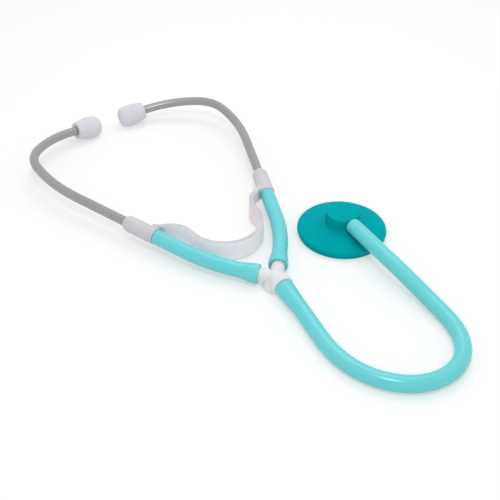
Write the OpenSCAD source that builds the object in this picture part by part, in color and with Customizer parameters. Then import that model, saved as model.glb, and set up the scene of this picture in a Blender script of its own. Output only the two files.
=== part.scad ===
// Toy stethoscope lying on a table, in millimetres, +Z up.
// The origin is the middle of the chest piece's skin face, which rests on the table.
// +Y runs along the headset towards the ear tips, and the headset's mirror plane is parallel to YZ.

/* [Hose] */
// Outside diameter of the soft hose
hose_d = 8.4; // [7.6:0.1:9.6]
// Bore of the soft hose
hose_bore = 5; // [4.4:0.1:5.6]
// Outside diameter of a hose end stretched over the connector
cuff_d = 10.6; // [10:0.1:12]
// Length of the stretched end that grips a spigot
cuff_l = 5; // [4:0.5:7]
// Length of the taper between the stretched end and the hose
cuff_taper = 6.5; // [4:0.5:8]

/* [Chest piece] */
// Diameter of the chest piece
chest_d = 50; // [44:0.5:58]
// Height of the rim's upper edge above the table
rim_h = 4.4; // [4.2:0.1:6]
// Rounding of the rim's edges
rim_round = 1.2; // [0.6:0.1:1.3]
// Rise of the crown from the rim to the hub
crown_rise = 2.6; // [1:0.1:4]
// Wall of the bell under the crown
bell_wall = 1.8; // [1.4:0.1:2.2]
// Diameter of the hub
hub_d = 19; // [16:0.5:24]
// Height of the hub above the crown
hub_h = 8; // [7.4:0.1:10]
// Rounding of the hub's upper edge
hub_round = 0.8; // [0.4:0.1:1.6]
// Fillet at the foot of the hub
hub_fillet = 0.8; // [0.4:0.1:1]
// Height of the retaining ring that shows under the rim
ring_h = 1.8; // [1.6:0.1:2.2]
// Step from the rim in to the retaining ring
ring_step = 0.8; // [0.4:0.1:1.2]
// Width of the retaining ring's face round the skin
ring_face = 2.6; // [2.2:0.1:3.4]
// Thickness of the ring's snap wall
snap_t = 0.6; // [0.5:0.05:0.7]
// Height of the ring's snap wall above its base
snap_h = 1.4; // [1:0.1:1.6]
// Thickness of the skin's face
skin_t = 1; // [0.8:0.05:1.1]
// Thickness of the skin's clamped edge
skin_edge_t = 0.5; // [0.3:0.05:0.6]
// Width of the skin's clamped edge
skin_edge_w = 0.9; // [0.6:0.05:1]
// Width of the bell's foot that presses on the skin's edge
foot_w = 1.4; // [1:0.1:2]
// Length of the spigot outside the hub
spigot_l = 16; // [12:0.5:20]
// Turn of the spigot from -Y towards -X, in degrees
spigot_turn = 6; // [0:1:20]
// Straight hose beyond the spigot's end
spigot_lead = 8; // [4:0.5:12]

/* [Connector] */
// Diameter of the connector's arms and stem
branch_d = 7.2; // [6.6:0.1:8]
// Diameter of the connector's round middle
knot_d = 10; // [9:0.1:10.6]
// Distance from the middle to the mouth of an arm tube
arm_mouth = 9.5; // [9:0.5:12]
// Distance from the middle to the mouth of the main tube
stem_mouth = 8; // [7:0.5:11]
// Sound bore of the connector's arms
arm_bore = 4.2; // [3.4:0.1:4.6]
// Sound bore of the connector's stem
stem_bore = 4.8; // [4.7:0.1:5.4]
// Length of the stem's collar
collar_l = 3; // [2:0.5:4]
// Turn of the stem from -Y towards -X, in degrees
stem_turn = 8; // [0:1:12]
// Place of the connector's middle, to the left of the chest piece
headset_x = -57; // [-80:1:-50]
// Place of the connector's middle along the headset
headset_y = -17; // [-40:1:0]

/* [Headset] */
// Angle of each connector arm from the mirror plane
arm_angle = 40; // [34:1:46]
// Upward slope of the arms, in degrees
arm_slope = 3; // [2:0.2:4]
// Bend of an arm tube, in degrees
arm_bend = 18.5; // [14:0.5:22]
// Radius of an arm tube's bend
arm_bend_r = 100; // [80:1:130]
// Straight end of an arm tube below its sleeve
arm_end = 19; // [14:0.5:26]
// Diameter of a sleeve
sleeve_d = 9.2; // [8.6:0.1:10.4]
// Length of a sleeve
sleeve_l = 21; // [19:0.5:26]
// Diameter of a sleeve's nose
sleeve_nose_d = 7.4; // [6.8:0.1:8.6]
// Length of a sleeve's tapered nose
sleeve_nose_l = 2.6; // [1.5:0.1:4]
// Length of the plug that a sleeve pushes into its arm tube
plug_l = 9; // [6:0.5:12]
// Bore that carries the sound through plugs and spigots
sound_d = 2.6; // [2:0.1:3]

/* [Ear tubes] */
// Outside diameter of an ear tube
ear_d = 5.5; // [4.8:0.1:5.8]
// Bore of an ear tube
ear_bore = 3.2; // [2.4:0.1:3.4]
// Length of ear tube inside its sleeve
ear_in = 15; // [12:0.5:17]
// Straight run of an ear tube beyond its sleeve
ear_run = 37.5; // [30:0.5:46]
// Radius of the long sweep
sweep_r = 106; // [90:1:120]
// Angle of the long sweep
sweep_a = 21.5; // [18:0.5:25]
// Radius of the shoulder bend
shoulder_r = 27; // [22:0.5:32]
// Angle of the shoulder bend
shoulder_a = 48; // [42:1:54]
// Radius of the last bend before the ear tip
last_r = 64; // [55:1:75]
// Angle of the last bend
last_a = 32; // [26:1:36]
// Largest diameter of an ear tip
tip_d = 13.8; // [12:0.1:15]
// Length of an ear tip
tip_l = 18; // [16:0.5:21]
// Diameter of an ear tip where the tube enters
tip_base_d = 10.5; // [9.5:0.1:11.5]
// Place of an ear tip's widest ring, from its base
tip_wide = 10.5; // [9.5:0.1:12]
// Length of ear tube inside an ear tip
tip_in = 10; // [8:0.5:12]

/* [Spring band] */
// Thickness of the band
band_t = 2.4; // [2.2:0.1:3]
// Height of the band at the bottom of its loop
band_h = 11.6; // [9:0.1:13]
// Gap between the band and the table
band_lift = 0.8; // [0.5:0.1:2]
// Height of the band where it meets a sleeve
band_end_h = 8.4; // [7.6:0.1:8.6]
// Distance before a sleeve over which the band's lower edge rises
band_rise = 5; // [3:0.5:10]
// Radius of the curve from the loop out to a sleeve
band_flare_r = 13.5; // [12:0.5:18]
// Angle between a sleeve and the band that leaves it
band_turn = 46.5; // [42:0.5:50]
// Distance from a sleeve's axis to the end of its lug
lug_out = 7.6; // [7.6:0.1:9]
// Distance from a sleeve's lower end back to the end of its lug
lug_back = 1.4; // [1:0.1:1.5]
// Fillet between a lug and its sleeve
lug_fillet = 6; // [3:0.5:8]
// Length of the band's tongue inside the lug
tongue_l = 3.6; // [2.5:0.1:3.8]
// Shoulder of the band above and below its tongue
tongue_shoulder = 1.2; // [0.8:0.1:1.8]
// Thickness of the tongue
tongue_t = 1; // [0.8:0.05:1.2]

/* [Fits] */
// Radial clearance of pieces that turn or push into each other
fit = 0.05; // [0.02:0.01:0.08]
// Clearance of snapped and slotted pieces
slack = 0.1; // [0.05:0.01:0.2]
// Gap between a hose and what it lies beside
hose_gap = 0.4; // [0.3:0.05:0.6]
// Chamfer on the ends that push into a hose
lead_in = 0.6; // [0.3:0.1:1]

/* [Hidden] */
$fn = 64;

AQUA = "#76d5d7";
TEAL = "#03a8b0";
PALE = "#d3d2d8";
MILK = "#dadde0";
STEEL = "#a9a7a9";

// Room that a cutting shape needs past the faces that it cuts.
past = 1;
// Length of a run inside the bend that it meets, and how much wider the bend is than the run.
lap = 0.2;
sink = 0.02;
// Straight run between two bends of an ear tube.
bend_gap = 0.6;
// Straight hose past a stretched end, and how far the free hose runs inside a straight one.
cuff_tail = 3;
hose_lap = 2;
hose_r = hose_d / 2;

// Chest piece radii, from the rim in to the bell's cavity.
rim_r = chest_d / 2;
hub_r = hub_d / 2;
ring_ro = rim_r - ring_step;
ring_ri = ring_ro - ring_face;
skin_r = ring_ri - slack;
skin_edge_r = skin_r + skin_edge_w;
snap_ri = skin_edge_r + slack;
snap_ro = snap_ri + snap_t;
foot_ri = skin_edge_r - foot_w;

// Chest piece heights.
foot_z = skin_t + skin_edge_t;
crown_z = rim_h + crown_rise;
hub_z = crown_z + hub_h;
spigot_z = crown_z + hose_gap + hose_r;
spigot_d = hose_bore - 2 * fit;
hose_start = hub_r + hose_gap;
hose_straight = spigot_l + spigot_lead;

// The stretched hose ends lie on the table at the connector, so their radius sets its height.
knot_z = cuff_d / 2;
mouth_bore = branch_d + 2 * fit;
plug_d = hose_bore - 2 * fit;
sleeve_bore = ear_d + 2 * fit;
arm_start = arm_mouth + cuff_l + cuff_taper;

// Directions of the right arm: forward along the connector arm, and square to it, level, to its left.
arm_forward = [sin(arm_angle) * cos(arm_slope), cos(arm_angle) * cos(arm_slope), sin(arm_slope)];
arm_left = [-cos(arm_angle), sin(arm_angle), 0];

// Places along the right arm in its own plane, as [forward, left].
function turned(a) = [cos(a), sin(a)];
function bend_end(r, a) = r * [sin(a), 1 - cos(a)];
function spun(p, a) = [p.x * cos(a) - p.y * sin(a), p.x * sin(a) + p.y * cos(a)];
function headset_point(p) = p.x * arm_forward + p.y * arm_left;
sleeve_at = [arm_start, 0] + bend_end(arm_bend_r, arm_bend) + arm_end * turned(arm_bend);
sweep_at = sleeve_at + (sleeve_l + ear_run) * turned(arm_bend);
shoulder_heading = arm_bend + sweep_a;
shoulder_at = sweep_at + spun(bend_end(sweep_r, sweep_a), arm_bend) + bend_gap * turned(shoulder_heading);

// Roll of the ear tube's last bends about its own run, so that the ear tip rests on the table.
last_heading = shoulder_a + last_a;
reach = bend_end(shoulder_r, shoulder_a) + bend_gap * turned(shoulder_a)
      + spun(bend_end(last_r, last_a), shoulder_a) + tip_wide * turned(last_heading);
shoulder_z = knot_z + shoulder_at.x * sin(arm_slope);
run_rise = cos(shoulder_heading) * sin(arm_slope);
side_fall = sin(shoulder_heading) * sin(arm_slope);
fall = (shoulder_z + run_rise * reach.x - tip_d / 2 - slack) / reach.y;
tip_roll = asin(fall / norm([side_fall, cos(arm_slope)])) - atan2(side_fall, cos(arm_slope));

// The band leaves a sleeve's lug, flares in to a leg beside the mirror plane, and loops round.
sleeve_heading = arm_angle - arm_bend;
band_heading = sleeve_heading + band_turn;
sleeve_base = headset_point(sleeve_at);
lug_end = [sleeve_base.x, sleeve_base.y]
        - lug_back * [sin(sleeve_heading), cos(sleeve_heading)]
        + lug_out * [-cos(sleeve_heading), sin(sleeve_heading)];
loop_r = lug_end.x - band_flare_r * (1 - cos(band_heading));
loop_y = lug_end.y - band_flare_r * sin(band_heading);
lug_z = sleeve_base.z;
loop_steps = 24;
flare_steps = 16;
tongue_h = band_end_h - 2 * tongue_shoulder;

// Main tube route over the table, from the connector round to the chest piece: [x, y, z].
tube_route = [
    [-60.9, -45, 4.9], [-62.2, -53, 4.5], [-63.7, -61, 4.3], [-64.9, -69, 4.2], [-65.2, -77, 4.2],
    [-64.1, -86, 4.2], [-61, -94.6, 4.2], [-56.1, -102.2, 4.2], [-49.6, -108.4, 4.2],
    [-41.7, -112.6, 4.2], [-33, -114.2, 4.2], [-24.6, -113.2, 4.2], [-17, -109.6, 4.2],
    [-10.8, -103.6, 4.2], [-6.6, -96, 4.2], [-4.2, -87, 4.3], [-3.4, -78, 4.9], [-3.2, -69, 6.2],
    [-3.6, -60, 8.2], [-4, -51, 10.1], [-4.2, -43, 11.2]
];
tube_sides = 12;
rings_per_span = 2;

// Small tools that several pieces share.

function arc(c, r, a0, a1, steps = 8) =
    [for (i = [0 : steps]) let (a = a0 + (a1 - a0) * i / steps) c + r * [cos(a), sin(a)]];

function unit(v) = v / norm(v);

function tail(points) = [for (i = [1 : len(points) - 1]) points[i]];

function reversed(points) = [for (i = [len(points) - 1 : -1 : 0]) points[i]];

function mirrored(points) = [for (p = points) [-p.x, p.y]];

// A point on the smooth curve through p1 and p2, with their neighbours p0 and p3.
function smooth_point(p0, p1, p2, p3, t) =
    0.5 * (2 * p1 + (p2 - p0) * t + (2 * p0 - 5 * p1 + 4 * p2 - p3) * t * t
           + (3 * p1 - p0 - 3 * p2 + p3) * t * t * t);

function smooth_route(points, steps) = let (last = len(points) - 1) concat(
    [for (i = [0 : last - 1], k = [0 : steps - 1])
        smooth_point(points[max(i - 1, 0)], points[i], points[i + 1],
                     points[min(i + 2, last)], k / steps)],
    [points[last]]);

function route_heading(points, i) =
    unit(points[min(i + 1, len(points) - 1)] - points[max(i - 1, 0)]);

function ring_points(centre, heading, r, sides) =
    let (across = unit(cross(heading, [0, 0, 1])), over = cross(across, heading))
    [for (j = [0 : sides - 1]) centre + r * (cos(360 * j / sides) * across + sin(360 * j / sides) * over)];

// A hollow tube swept along points, as one closed skin of triangles.
module swept_tube(points, outer_r, inner_r, sides) {
    count = len(points);
    inner_first = count * sides;
    skin = [for (r = [outer_r, inner_r], i = [0 : count - 1])
        each ring_points(points[i], route_heading(points, i), r, sides)];
    function at(i, j, first = 0) = first + i * sides + j % sides;
    walls = [for (i = [0 : count - 2], j = [0 : sides - 1]) each [
        [at(i, j), at(i, j + 1), at(i + 1, j + 1)],
        [at(i, j), at(i + 1, j + 1), at(i + 1, j)],
        [at(i, j + 1, inner_first), at(i, j, inner_first), at(i + 1, j + 1, inner_first)],
        [at(i + 1, j + 1, inner_first), at(i, j, inner_first), at(i + 1, j, inner_first)]]];
    ends = [for (j = [0 : sides - 1]) each [
        [at(0, j + 1), at(0, j), at(0, j, inner_first)],
        [at(0, j + 1), at(0, j, inner_first), at(0, j + 1, inner_first)],
        [at(count - 1, j), at(count - 1, j + 1), at(count - 1, j, inner_first)],
        [at(count - 1, j, inner_first), at(count - 1, j + 1), at(count - 1, j + 1, inner_first)]]];
    polyhedron(skin, concat(walls, ends));
}

// A round bar along +X.
module bar(r, l) {
    rotate([0, 90, 0]) cylinder(r = r, h = l);
}

// A profile of [radius, distance] turned about +X.
module turned_on_x(profile) {
    rotate([0, 90, 0]) rotate_extrude() polygon(profile);
}

// A straight run of tube along +X, from start to end.
module run(start, end, r, bore_r) {
    translate([start, 0, 0]) difference() {
        bar(r, end - start);
        translate([-past, 0, 0]) bar(bore_r, end - start + 2 * past);
    }
}

// A bend that starts along +X and turns to +Y, a hair wider than the runs that end inside it.
module bend(bend_r, a, r, bore_r) {
    translate([0, bend_r, 0]) rotate([0, 0, -90]) rotate_extrude(angle = a)
        translate([bend_r, 0]) difference() {
            circle(r + sink);
            circle(bore_r + sink);
        }
}

// Carries its children to the end of such a bend.
module past_bend(bend_r, a) {
    translate([0, bend_r, 0]) rotate([0, 0, a]) translate([0, -bend_r, 0]) children();
}

// A hose end stretched over a spigot: mouth at the origin, hose along +X.
module cuff(hose_l) {
    turned_on_x([
        [mouth_bore / 2, 0], [cuff_d / 2, 0], [cuff_d / 2, cuff_l], [hose_r, cuff_l + cuff_taper],
        [hose_r, cuff_l + cuff_taper + hose_l], [hose_bore / 2, cuff_l + cuff_taper + hose_l],
        [hose_bore / 2, cuff_l + cuff_taper], [mouth_bore / 2, cuff_l]]);
}

// The headset's middle, at the knot of the connector.
module at_headset() {
    translate([headset_x, headset_y, knot_z]) children();
}

// The right arm's own frame: +X along the connector arm, +Y level to its left.
module on_arm() {
    at_headset() rotate([0, 0, 90 - arm_angle]) rotate([0, -arm_slope, 0]) children();
}

// The left half of the headset mirrors the right half.
module left_half() {
    translate([2 * headset_x, 0, 0]) mirror([1, 0, 0]) children();
}

module at_sleeve() {
    on_arm() translate([sleeve_at.x, sleeve_at.y, 0]) rotate([0, 0, arm_bend]) children();
}

// The start of the ear tube's shoulder bend, rolled so that the ear tip comes down to the table.
module at_shoulder() {
    on_arm() translate([shoulder_at.x, shoulder_at.y, 0]) rotate([0, 0, shoulder_heading])
        rotate([-tip_roll, 0, 0]) children();
}

// The base of an ear tip: +X along the tip.
module at_tip() {
    at_shoulder() past_bend(shoulder_r, shoulder_a) translate([bend_gap, 0, 0])
        past_bend(last_r, last_a) children();
}

// Chest piece.

module chest_body() {
    edge = rim_r - rim_round;
    skirt_ri = snap_ro + slack;
    spigot_end = hub_r + spigot_l;
    profile = concat(
        [[0, crown_z - bell_wall], [foot_ri, rim_h - bell_wall], [foot_ri, foot_z],
         [skin_edge_r, foot_z], [skin_edge_r, ring_h + snap_h + slack],
         [skirt_ri, ring_h + snap_h + slack], [skirt_ri, ring_h]],
        arc([edge, ring_h + rim_round], rim_round, -90, 0),
        arc([edge, rim_h - rim_round], rim_round, 0, 90),
        arc([hub_r + hub_fillet, crown_z + hub_fillet], hub_fillet, 270, 180),
        arc([hub_r - hub_round, hub_z - hub_round], hub_round, 0, 90),
        [[0, hub_z]]);
    color(TEAL) difference() {
        union() {
            rotate_extrude($fn = 96) polygon(profile);
            on_spigot() turned_on_x([
                [0, 0], [spigot_d / 2, 0], [spigot_d / 2, spigot_end - lead_in],
                [spigot_d / 2 - lead_in, spigot_end], [0, spigot_end]]);
        }
        on_spigot() bar(sound_d / 2, spigot_end + past);
        translate([0, 0, foot_z]) cylinder(d = sound_d, h = spigot_z - foot_z);
    }
}

// The spigot's frame: +X out of the hub along its axis.
module on_spigot() {
    translate([0, 0, spigot_z]) rotate([0, 0, -90 - spigot_turn]) children();
}

module retaining_ring() {
    color(TEAL) rotate_extrude($fn = 96) polygon([
        [ring_ri, 0], [ring_ro, 0], [ring_ro, ring_h], [snap_ro, ring_h],
        [snap_ro, ring_h + snap_h], [snap_ri, ring_h + snap_h], [snap_ri, skin_t], [ring_ri, skin_t]]);
}

module diaphragm() {
    color(MILK) rotate_extrude($fn = 96) polygon([
        [0, 0], [skin_r, 0], [skin_r, skin_t], [skin_edge_r, skin_t],
        [skin_edge_r, foot_z], [0, foot_z]]);
}

// Main tube and connector.

module main_tube() {
    stem_way = [-sin(stem_turn), -cos(stem_turn), 0];
    cuff_out = [headset_x, headset_y, knot_z] + (stem_mouth + cuff_l + cuff_taper + cuff_tail) * stem_way;
    spigot_way = [-sin(spigot_turn), -cos(spigot_turn), 0];
    hose_in = [0, 0, spigot_z] + (hose_start + hose_straight) * spigot_way;
    route = smooth_route(concat(
        [cuff_out - hose_lap * stem_way, cuff_out + hose_lap * stem_way], tube_route,
        [hose_in + hose_lap * spigot_way, hose_in - hose_lap * spigot_way]), rings_per_span);
    color(AQUA) union() {
        on_stem() translate([stem_mouth, 0, 0]) cuff(cuff_tail);
        swept_tube(route, hose_r - sink, hose_bore / 2 + sink, tube_sides);
        on_spigot() run(hose_start, hose_start + hose_straight, hose_r, hose_bore / 2);
    }
}

// The stem's frame: +X out of the knot along its axis.
module on_stem() {
    at_headset() rotate([0, 0, -90 - stem_turn]) children();
}

// One branch of the connector along +X, from the knot into a hose mouth.
module branch(mouth) {
    end = mouth + cuff_l - slack;
    turned_on_x([
        [0, 0], [branch_d / 2, 0], [branch_d / 2, end - lead_in],
        [branch_d / 2 - lead_in, end], [0, end]]);
}

module y_connector() {
    bore_l = arm_mouth + cuff_l + past;
    color(MILK) difference() {
        union() {
            at_headset() rotate([90, 0, 0]) sphere(d = knot_d);
            on_arm() branch(arm_mouth);
            left_half() on_arm() branch(arm_mouth);
            on_stem() branch(stem_mouth);
            on_stem() translate([stem_mouth - collar_l - slack, 0, 0]) bar(cuff_d / 2, collar_l);
        }
        on_arm() bar(arm_bore / 2, bore_l);
        left_half() on_arm() bar(arm_bore / 2, bore_l);
        on_stem() translate([-past, 0, 0]) bar(stem_bore / 2, stem_mouth + cuff_l + 2 * past);
    }
}

// Headset, drawn for the right side.

module arm_tube() {
    color(AQUA) on_arm() {
        translate([arm_mouth, 0, 0]) cuff(lap);
        translate([arm_start, 0, 0]) {
            bend(arm_bend_r, arm_bend, hose_r, hose_bore / 2);
            past_bend(arm_bend_r, arm_bend) run(-lap, arm_end - slack, hose_r, hose_bore / 2);
        }
    }
}

module sleeve() {
    slot_t = tongue_t + 2 * slack;
    slot_h = tongue_h + 2 * slack;
    root = lug_out / sin(band_turn) - sleeve_bore / 2;
    corner = (lug_out - sleeve_d / 2) / sin(band_turn) + band_t / 2 / tan(band_turn);
    fillet_at = [corner - lug_fillet * tan(band_turn / 2), band_t / 2 + lug_fillet];
    lug = concat([[0, -band_t / 2], [root, -band_t / 2]],
                 arc(fillet_at, lug_fillet, band_turn - 90, -90), [[0, band_t / 2]]);
    color(PALE) difference() {
        union() {
            at_sleeve() turned_on_x([
                [0, -plug_l], [plug_d / 2 - lead_in, -plug_l], [plug_d / 2, lead_in - plug_l],
                [plug_d / 2, 0], [sleeve_d / 2, 0],
                [sleeve_d / 2, sleeve_l - sleeve_nose_l], [sleeve_nose_d / 2, sleeve_l], [0, sleeve_l]]);
            on_lug() translate([0, 0, -band_end_h / 2]) linear_extrude(band_end_h) polygon(lug);
        }
        at_sleeve() translate([sleeve_l - ear_in - slack, 0, 0]) bar(sleeve_bore / 2, ear_in + past);
        at_sleeve() translate([-plug_l - past, 0, 0]) bar(sound_d / 2, plug_l + sleeve_l);
        on_lug() translate([-past, -slot_t / 2, -slot_h / 2])
            cube([tongue_l + slack + past, slot_t, slot_h]);
    }
}

// The end of a sleeve's lug: +X into the sleeve along the band.
module on_lug() {
    at_headset() translate([lug_end.x, lug_end.y, lug_z]) rotate([0, 0, 90 - band_heading]) children();
}

module ear_tube() {
    r = ear_d / 2;
    bore = ear_bore / 2;
    color(STEEL) at_sleeve() translate([sleeve_l - ear_in, 0, 0]) {
        run(0, ear_in + ear_run + lap, r, bore);
        translate([ear_in + ear_run, 0, 0]) bend(sweep_r, sweep_a, r, bore);
    }
    color(STEEL) at_shoulder() {
        run(-bend_gap - lap, lap, r, bore);
        bend(shoulder_r, shoulder_a, r, bore);
        past_bend(shoulder_r, shoulder_a) {
            run(-lap, bend_gap + lap, r, bore);
            translate([bend_gap, 0, 0]) bend(last_r, last_a, r, bore);
        }
    }
    color(STEEL) at_tip() run(-lap, tip_in, r, bore);
}

module ear_tip() {
    dome = tip_l - tip_wide;
    blunt = 2.6;
    base_round = 0.7;
    cone_steps = 10;
    dome_steps = 12;
    function dome_r(a) = tip_d / 2 * pow(sin(a), 2 / blunt);
    function dome_x(a) = tip_wide + dome * pow(cos(a), 2 / blunt);
    function flare_r(t) = tip_base_d / 2 + (tip_d - tip_base_d) / 2 * sin(90 * t);
    profile = concat(
        [[0, 0], [tip_base_d / 2 - base_round, 0]],
        [for (i = [1 : cone_steps]) [flare_r(i / cone_steps), tip_wide * i / cone_steps]],
        [for (i = [1 : dome_steps]) let (a = 90 * (1 - i / dome_steps)) [dome_r(a), dome_x(a)]]);
    color(PALE) at_tip() difference() {
        turned_on_x(profile);
        translate([-past, 0, 0]) bar(ear_d / 2 + fit, tip_in + slack + past);
        bar(sound_d / 2, tip_l + past);
    }
}

// One edge of the band's right half, from the mirror plane to the lug, moved out from the loop's middle.
function band_edge(out) = concat(
    arc([0, loop_y], loop_r + out, -90, 0, loop_steps),
    tail(arc([loop_r + band_flare_r, loop_y], band_flare_r - out, 180, 180 - band_heading, flare_steps)));

// The band seen from above.
function band_plan() = let (outer = band_edge(band_t / 2), inner = band_edge(-band_t / 2)) concat(
    outer, reversed(inner), mirrored(tail(inner)), mirrored(reversed(tail(outer))));

module spring_band() {
    low = band_lift;
    high = band_lift + band_h;
    end_low = knot_z + lug_z - band_end_h / 2;
    loop_low_y = loop_y - loop_r - band_t;
    end_y = lug_end.y + band_t;
    outline = [[loop_low_y, low], [lug_end.y - band_rise, low], [lug_end.y, end_low], [end_y, end_low],
               [end_y, end_low + band_end_h], [lug_end.y, end_low + band_end_h],
               [loop_low_y, high]];
    wide = 2 * lug_end.x;
    color(PALE) {
        translate([headset_x, headset_y, 0]) intersection() {
            linear_extrude(band_h + band_lift + sleeve_d) polygon(band_plan());
            translate([-wide, 0, 0]) rotate([90, 0, 90]) linear_extrude(2 * wide) polygon(outline);
        }
        band_tongue();
        left_half() band_tongue();
    }
}

module band_tongue() {
    on_lug() translate([-past, -tongue_t / 2, -tongue_h / 2]) cube([tongue_l + past, tongue_t, tongue_h]);
}

module arm_tube_right() { arm_tube(); }
module arm_tube_left() { left_half() arm_tube(); }
module sleeve_right() { sleeve(); }
module sleeve_left() { left_half() sleeve(); }
module ear_tube_right() { ear_tube(); }
module ear_tube_left() { left_half() ear_tube(); }
module ear_tip_right() { ear_tip(); }
module ear_tip_left() { left_half() ear_tip(); }

chest_body();
retaining_ring();
diaphragm();
main_tube();
y_connector();
arm_tube_left();
arm_tube_right();
spring_band();
sleeve_left();
sleeve_right();
ear_tube_left();
ear_tube_right();
ear_tip_left();
ear_tip_right();
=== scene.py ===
# %% [markdown]
# # A toy stethoscope on a pale table
# The toy is made of soft vinyl hose, a few moulded plastic pieces and two bent grey tubes.
# The packed CAD model is the frame of the lesson: most of the sizes below repeat the part's source,
# in millimetres, and each mesh is written in metres where the solid that it stands for lies.

# %% Load the frame
import math

import bmesh
import bpy
from mathutils import Matrix, Vector


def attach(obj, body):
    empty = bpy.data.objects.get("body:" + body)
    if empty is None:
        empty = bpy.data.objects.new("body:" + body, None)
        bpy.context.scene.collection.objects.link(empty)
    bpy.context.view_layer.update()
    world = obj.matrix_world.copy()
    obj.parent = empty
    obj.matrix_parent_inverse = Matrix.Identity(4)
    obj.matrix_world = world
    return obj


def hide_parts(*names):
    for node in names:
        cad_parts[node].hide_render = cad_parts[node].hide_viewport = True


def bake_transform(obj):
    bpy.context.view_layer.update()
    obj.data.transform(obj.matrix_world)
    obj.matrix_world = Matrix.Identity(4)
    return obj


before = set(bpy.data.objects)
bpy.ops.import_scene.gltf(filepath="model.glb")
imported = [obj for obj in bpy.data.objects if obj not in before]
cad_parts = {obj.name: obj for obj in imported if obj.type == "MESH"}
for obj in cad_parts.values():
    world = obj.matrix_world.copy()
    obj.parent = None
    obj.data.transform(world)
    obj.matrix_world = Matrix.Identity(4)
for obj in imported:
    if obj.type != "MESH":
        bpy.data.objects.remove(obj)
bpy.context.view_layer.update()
scene = bpy.context.scene
MM = 0.001

# %% [markdown]
# ## Camera
# The photograph looks down on the toy from in front and from its left. A camera can be dragged
# into place by eye, but a point to look at, two angles and a distance say the same thing in a way
# that can be measured and corrected, so the camera is placed from those.

# %% Camera
LOOK_AT = Vector((-51.6, 15.6, 0)) * MM
CAMERA_ROUND = math.radians(34)
CAMERA_UP = math.radians(38.5)
CAMERA_FAR = 439.6 * MM
FOCAL_LENGTH, SENSOR_WIDTH, NEAR_LIMIT = 57.6, 36, 0.01


def aim(obj, place, target):
    """Stands an object at a place with its -Z towards a target."""
    obj.location = place
    obj.rotation_euler = (target - place).to_track_quat("-Z", "Y").to_euler()


lens = bpy.data.cameras.new("camera")
lens.lens, lens.sensor_width, lens.clip_start = FOCAL_LENGTH, SENSOR_WIDTH, NEAR_LIMIT
camera = bpy.data.objects.new("camera", lens)
scene.collection.objects.link(camera)
scene.camera = camera
level = math.cos(CAMERA_UP)
back = Vector((-level * math.sin(CAMERA_ROUND), -level * math.cos(CAMERA_ROUND),
               math.sin(CAMERA_UP)))
aim(camera, LOOK_AT + CAMERA_FAR * back, LOOK_AT)
print("camera at", [round(x / MM, 1) for x in camera.location], "mm")

# %% [markdown]
# ## Sums on sockets
# A node tree is a sum drawn as boxes. Drawn by hand it is easy to read, but in a script each box
# takes several lines. This small class wraps a socket, so that `0.2 + 0.3 * mask` adds its own Math
# nodes, and one method adds every other kind of node.

# %% Wires
class Wire:
    """A socket that can stand in a sum."""

    def __init__(self, socket):
        self.socket = socket

    @staticmethod
    def add(tree, kind, settings=None, sockets=None, out=0):
        """Adds a node, gives it its settings and then its sockets, and returns one output."""
        node = tree.nodes.new(kind)
        for key, value in (settings or {}).items():
            setattr(node, key, value)
        for key, value in (sockets or {}).items():
            if isinstance(value, Wire):
                tree.links.new(value.socket, node.inputs[key])
            else:
                node.inputs[key].default_value = value
        return Wire(node.outputs[out]) if node.outputs else node

    def sum(self, operation, one, other):
        tree = self.socket.id_data
        return Wire.add(tree, "ShaderNodeMath", {"operation": operation}, {0: one, 1: other})

    def __add__(self, other):
        return self.sum("ADD", self, other)

    def __radd__(self, other):
        return self.sum("ADD", other, self)

    def __sub__(self, other):
        return self.sum("SUBTRACT", self, other)

    def __mul__(self, other):
        return self.sum("MULTIPLY", self, other)

    def __rmul__(self, other):
        return self.sum("MULTIPLY", other, self)


print("sums:", [name for name in vars(Wire) if name.startswith("__r")])

# %% [markdown]
# ## Table and light
# The toy lies on white, and its shadows are only a breath of grey. Many lamps round it could do
# that. A light table does it with less: much of the sheet's brightness comes from below, where no
# shadow falls. A white world lights every side alike, as a light tent does. A wide lamp behind
# gives the shadows their direction, and a smaller one in front draws highlights along the hose.

# %% Table and light
TABLE_SIZE, TABLE_GREY, TABLE_GLOW, TABLE_ROUGH, TABLE_SHINE = 6, 0.5, 0.4, 0.9, 0.1
TENT_LIGHT, WHITE = 0.9, (1, 1, 1, 1)
LAMPS = {  # place in mm, width in metres, watts
    "back_lamp": ((150, 260, 600), 0.4, 0.9),
    "front_lamp": ((-200, -210, 620), 0.12, 1.0),
}
scene.view_settings.view_transform = "Standard"

tent = bpy.data.worlds.new("light_tent")
tent.use_nodes = True
tent.node_tree.nodes["Background"].inputs["Color"].default_value = WHITE
tent.node_tree.nodes["Background"].inputs["Strength"].default_value = TENT_LIGHT
scene.world = tent

for name, (place, width, watts) in LAMPS.items():
    lamp = bpy.data.lights.new(name, "AREA")
    lamp.size, lamp.energy = width, watts
    stand = bpy.data.objects.new(name, lamp)
    scene.collection.objects.link(stand)
    aim(stand, Vector(place) * MM, LOOK_AT)

sheet = bpy.data.meshes.new("table")
half = TABLE_SIZE / 2
sheet.from_pydata([(-half, -half, 0), (half, -half, 0), (half, half, 0), (-half, half, 0)], [],
                  [(0, 1, 2, 3)])
table = bpy.data.objects.new("table", sheet)
scene.collection.objects.link(table)
white = bpy.data.materials.new("table_white")
white.use_nodes = True
acrylic = white.node_tree.nodes["Principled BSDF"].inputs
acrylic["Base Color"].default_value = (TABLE_GREY, TABLE_GREY, TABLE_GREY, 1)
acrylic["Roughness"].default_value = TABLE_ROUGH
acrylic["Specular IOR Level"].default_value = TABLE_SHINE
acrylic["Emission Color"].default_value = WHITE
acrylic["Emission Strength"].default_value = TABLE_GLOW
sheet.materials.append(white)
print("table", TABLE_SIZE, "m across under", len(LAMPS), "lamps")

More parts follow.
